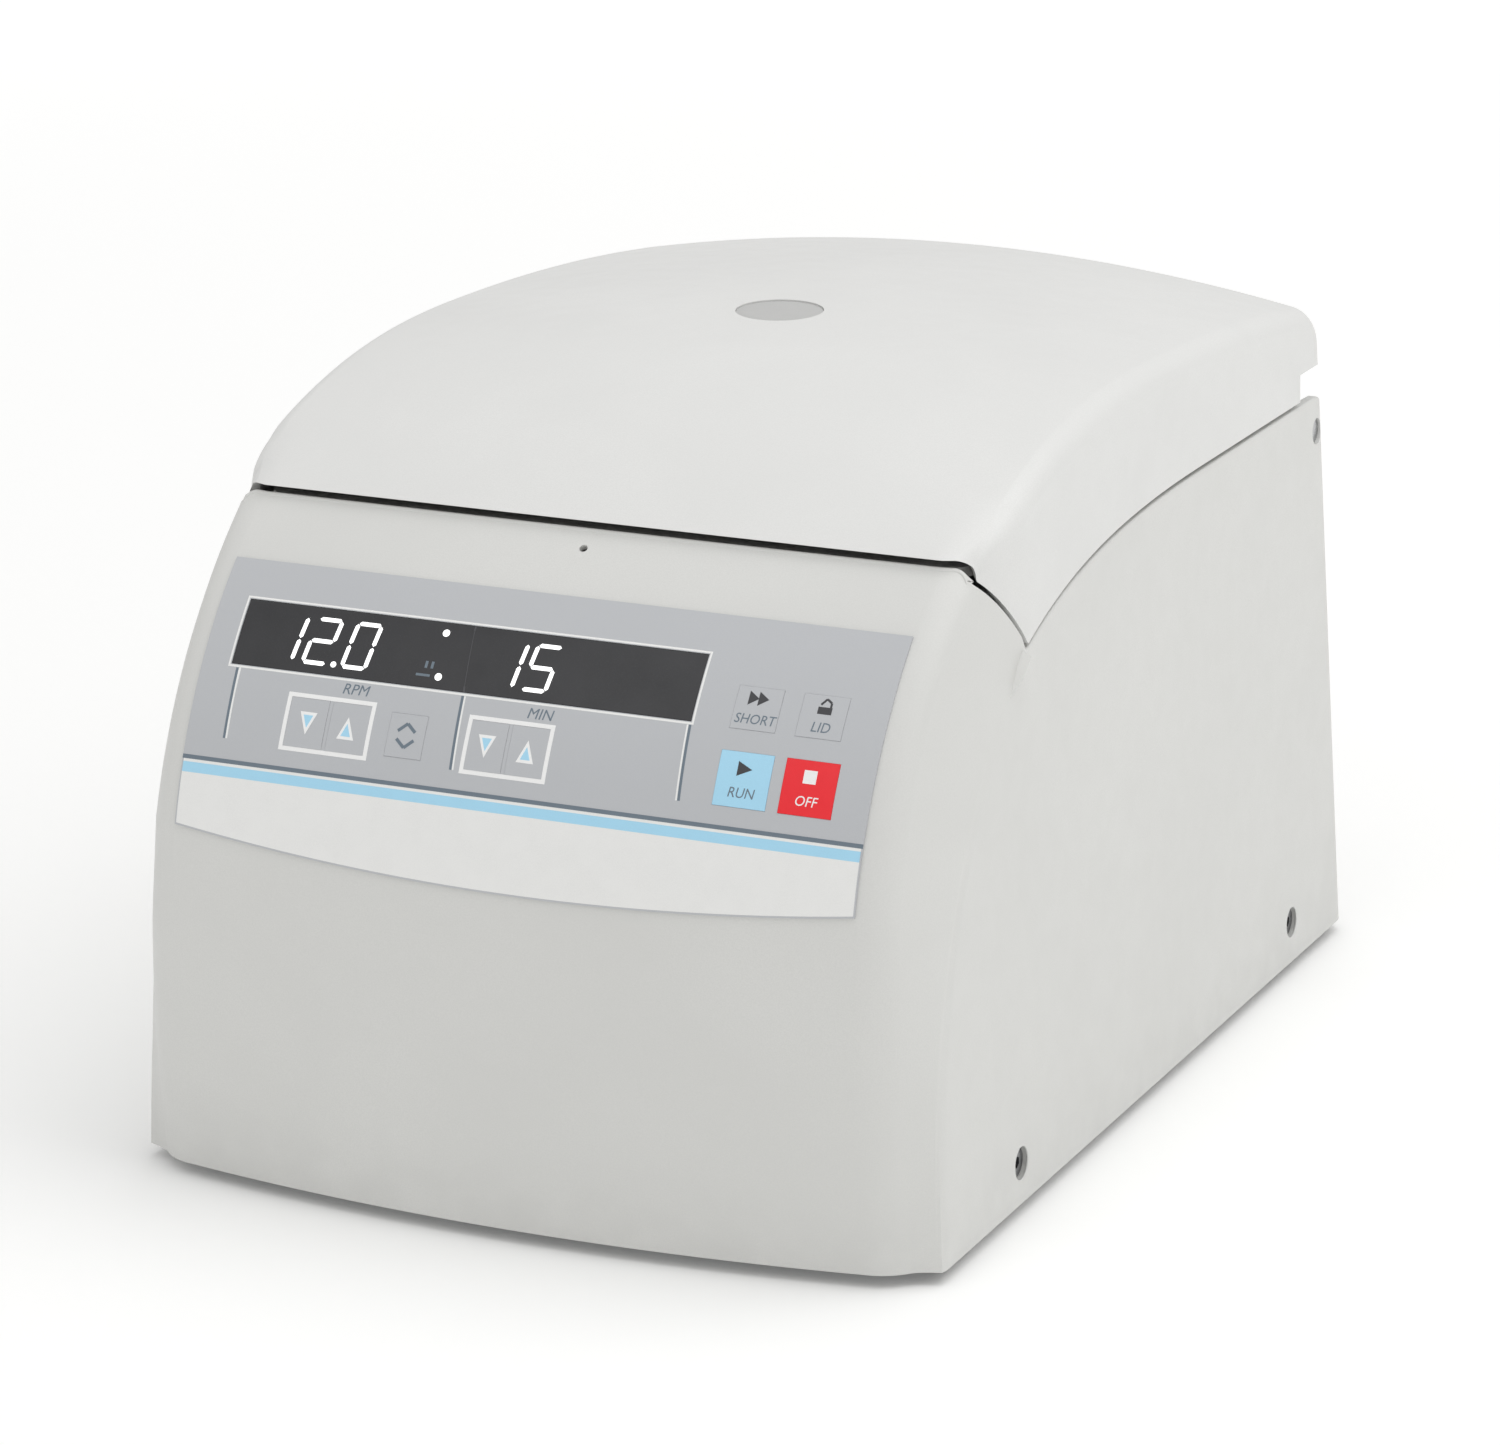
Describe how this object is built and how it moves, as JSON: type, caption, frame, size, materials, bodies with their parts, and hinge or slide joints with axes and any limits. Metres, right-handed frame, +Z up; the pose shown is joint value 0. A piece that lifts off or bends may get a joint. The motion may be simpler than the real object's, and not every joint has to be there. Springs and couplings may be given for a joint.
{
  "type": "microcentrifuge",
  "caption": "Bench microcentrifuge with a hinged domed lid, curved control panel with display and keys, and a fixed-angle rotor in a steel bowl.",
  "frame": {"origin": "centre of the whole object's box, on the plane that the feet stand on", "axes": "+X to the user's right, -Y towards the user, +Z up"},
  "size_m": [0.242, 0.3564, 0.222],
  "materials": {
    "casing": "fine-textured light grey-white moulding",
    "liner": "light grey moulding",
    "steel": "zinc-plated sheet",
    "pin_steel": "ground steel",
    "rubber": "black moulded rubber",
    "rear_paint": "light grey powder coat",
    "black_plastic": "black moulding",
    "bowl_steel": "spun stainless steel",
    "motor_paint": "dark enamel",
    "rotor_metal": "dark anodised",
    "rotor_lid_metal": "satin anodised",
    "port_plastic": "slightly cloudy clear plastic",
    "arm_paint": "grey enamel",
    "carrier": "grey moulding",
    "overlay": "printed grey film",
    "display": "smoked window",
    "board": "green circuit board",
    "screw": "dark plated screw",
    "plain_key": "printed grey film",
    "start_key": "printed light blue film",
    "stop_key": "printed red film"
  },
  "bodies": {
    "base": {"housing": "casing", "chamber_deck": "casing", "hinge_cover": "casing", "base_pan": "steel", "feet": "rubber", "rear_panel": "rear_paint", "mains_inlet": "black_plastic", "power_switch_frame": "black_plastic", "rotor_bowl": "bowl_steel", "chamber_seal": "rubber", "motor_body": "motor_paint", "motor_plate": "steel", "motor_dampers": "rubber", "motor_stand": "steel", "motor_bearings": "pin_steel", "lock_case": "black_plastic", "latch_solenoid": "motor_paint", "hinge_brackets": "steel", "hinge_pins": "pin_steel", "keypad_carrier": "carrier", "front_overlay": "overlay", "display_window": "display", "display_board": "board", "control_board": "board", "power_board": "board", "deck_posts": "steel", "side_screws": "screw"},
    "lid": {"lid_shell": "casing", "lid_liner": "liner", "lid_port": "port_plastic", "hinge_arms": "arm_paint", "striker": "pin_steel"},
    "rotor": {"motor_shaft": "pin_steel", "rotor_body": "rotor_metal"},
    "rotor_cover": {"rotor_lid": "rotor_lid_metal", "rotor_knob": "black_plastic"},
    "bolt": {"latch_bolt": "pin_steel"},
    "rocker": {"power_switch": "black_plastic"},
    "speed_down_button": {"speed_down_key": "plain_key"},
    "speed_up_button": {"speed_up_key": "plain_key"},
    "speed_unit_button": {"speed_unit_key": "plain_key"},
    "time_down_button": {"time_down_key": "plain_key"},
    "time_up_button": {"time_up_key": "plain_key"},
    "pulse_button": {"pulse_key": "plain_key"},
    "open_button": {"open_key": "plain_key"},
    "start_button": {"start_key": "start_key"},
    "stop_button": {"stop_key": "stop_key"}
  },
  "joints": [
    {"name": "lid_hinge", "type": "hinge", "parent": "base", "child": "lid", "pos_m": [0, 0.1522, 0.1655], "axis": [-1, 0, 0], "range_deg": [0, 75]},
    {"name": "rotor_spin", "type": "hinge", "parent": "base", "child": "rotor", "pos_m": [0, 0.008, 0.11], "axis": [0, 0, 1], "continuous": true},
    {"name": "rotor_cover_turn", "type": "hinge", "parent": "rotor", "child": "rotor_cover", "pos_m": [0, 0.008, 0.155], "axis": [0, 0, 1], "range_deg": [0, 90]},
    {"name": "bolt_slide", "type": "slide", "parent": "base", "child": "bolt", "axis": [-1, 0, 0], "range_m": [0, 0.007], "stiffness_N_per_m": 60},
    {"name": "rocker_tilt", "type": "hinge", "parent": "base", "child": "rocker", "pos_m": [0.002, 0.16849, 0.04372], "axis": [1, 0, 0], "range_deg": [0, 16]},
    {"name": "speed_down_press", "type": "slide", "parent": "base", "child": "speed_down_button", "axis": [0, 0.8901, -0.4558], "range_m": [0, 0.0005], "stiffness_N_per_m": 3000},
    {"name": "speed_up_press", "type": "slide", "parent": "base", "child": "speed_up_button", "axis": [0, 0.8901, -0.4558], "range_m": [0, 0.0005], "stiffness_N_per_m": 3000},
    {"name": "speed_unit_press", "type": "slide", "parent": "base", "child": "speed_unit_button", "axis": [0, 0.8901, -0.4558], "range_m": [0, 0.0005], "stiffness_N_per_m": 3000},
    {"name": "time_down_press", "type": "slide", "parent": "base", "child": "time_down_button", "axis": [0, 0.8901, -0.4558], "range_m": [0, 0.0005], "stiffness_N_per_m": 3000},
    {"name": "time_up_press", "type": "slide", "parent": "base", "child": "time_up_button", "axis": [0, 0.8901, -0.4558], "range_m": [0, 0.0005], "stiffness_N_per_m": 3000},
    {"name": "pulse_press", "type": "slide", "parent": "base", "child": "pulse_button", "axis": [0, 0.8126, -0.5828], "range_m": [0, 0.0005], "stiffness_N_per_m": 3000},
    {"name": "open_press", "type": "slide", "parent": "base", "child": "open_button", "axis": [0, 0.8126, -0.5828], "range_m": [0, 0.0005], "stiffness_N_per_m": 3000},
    {"name": "start_press", "type": "slide", "parent": "base", "child": "start_button", "axis": [0, 0.8901, -0.4558], "range_m": [0, 0.0005], "stiffness_N_per_m": 3000},
    {"name": "stop_press", "type": "slide", "parent": "base", "child": "stop_button", "axis": [0, 0.8901, -0.4558], "range_m": [0, 0.0005], "stiffness_N_per_m": 3000}
  ]
}
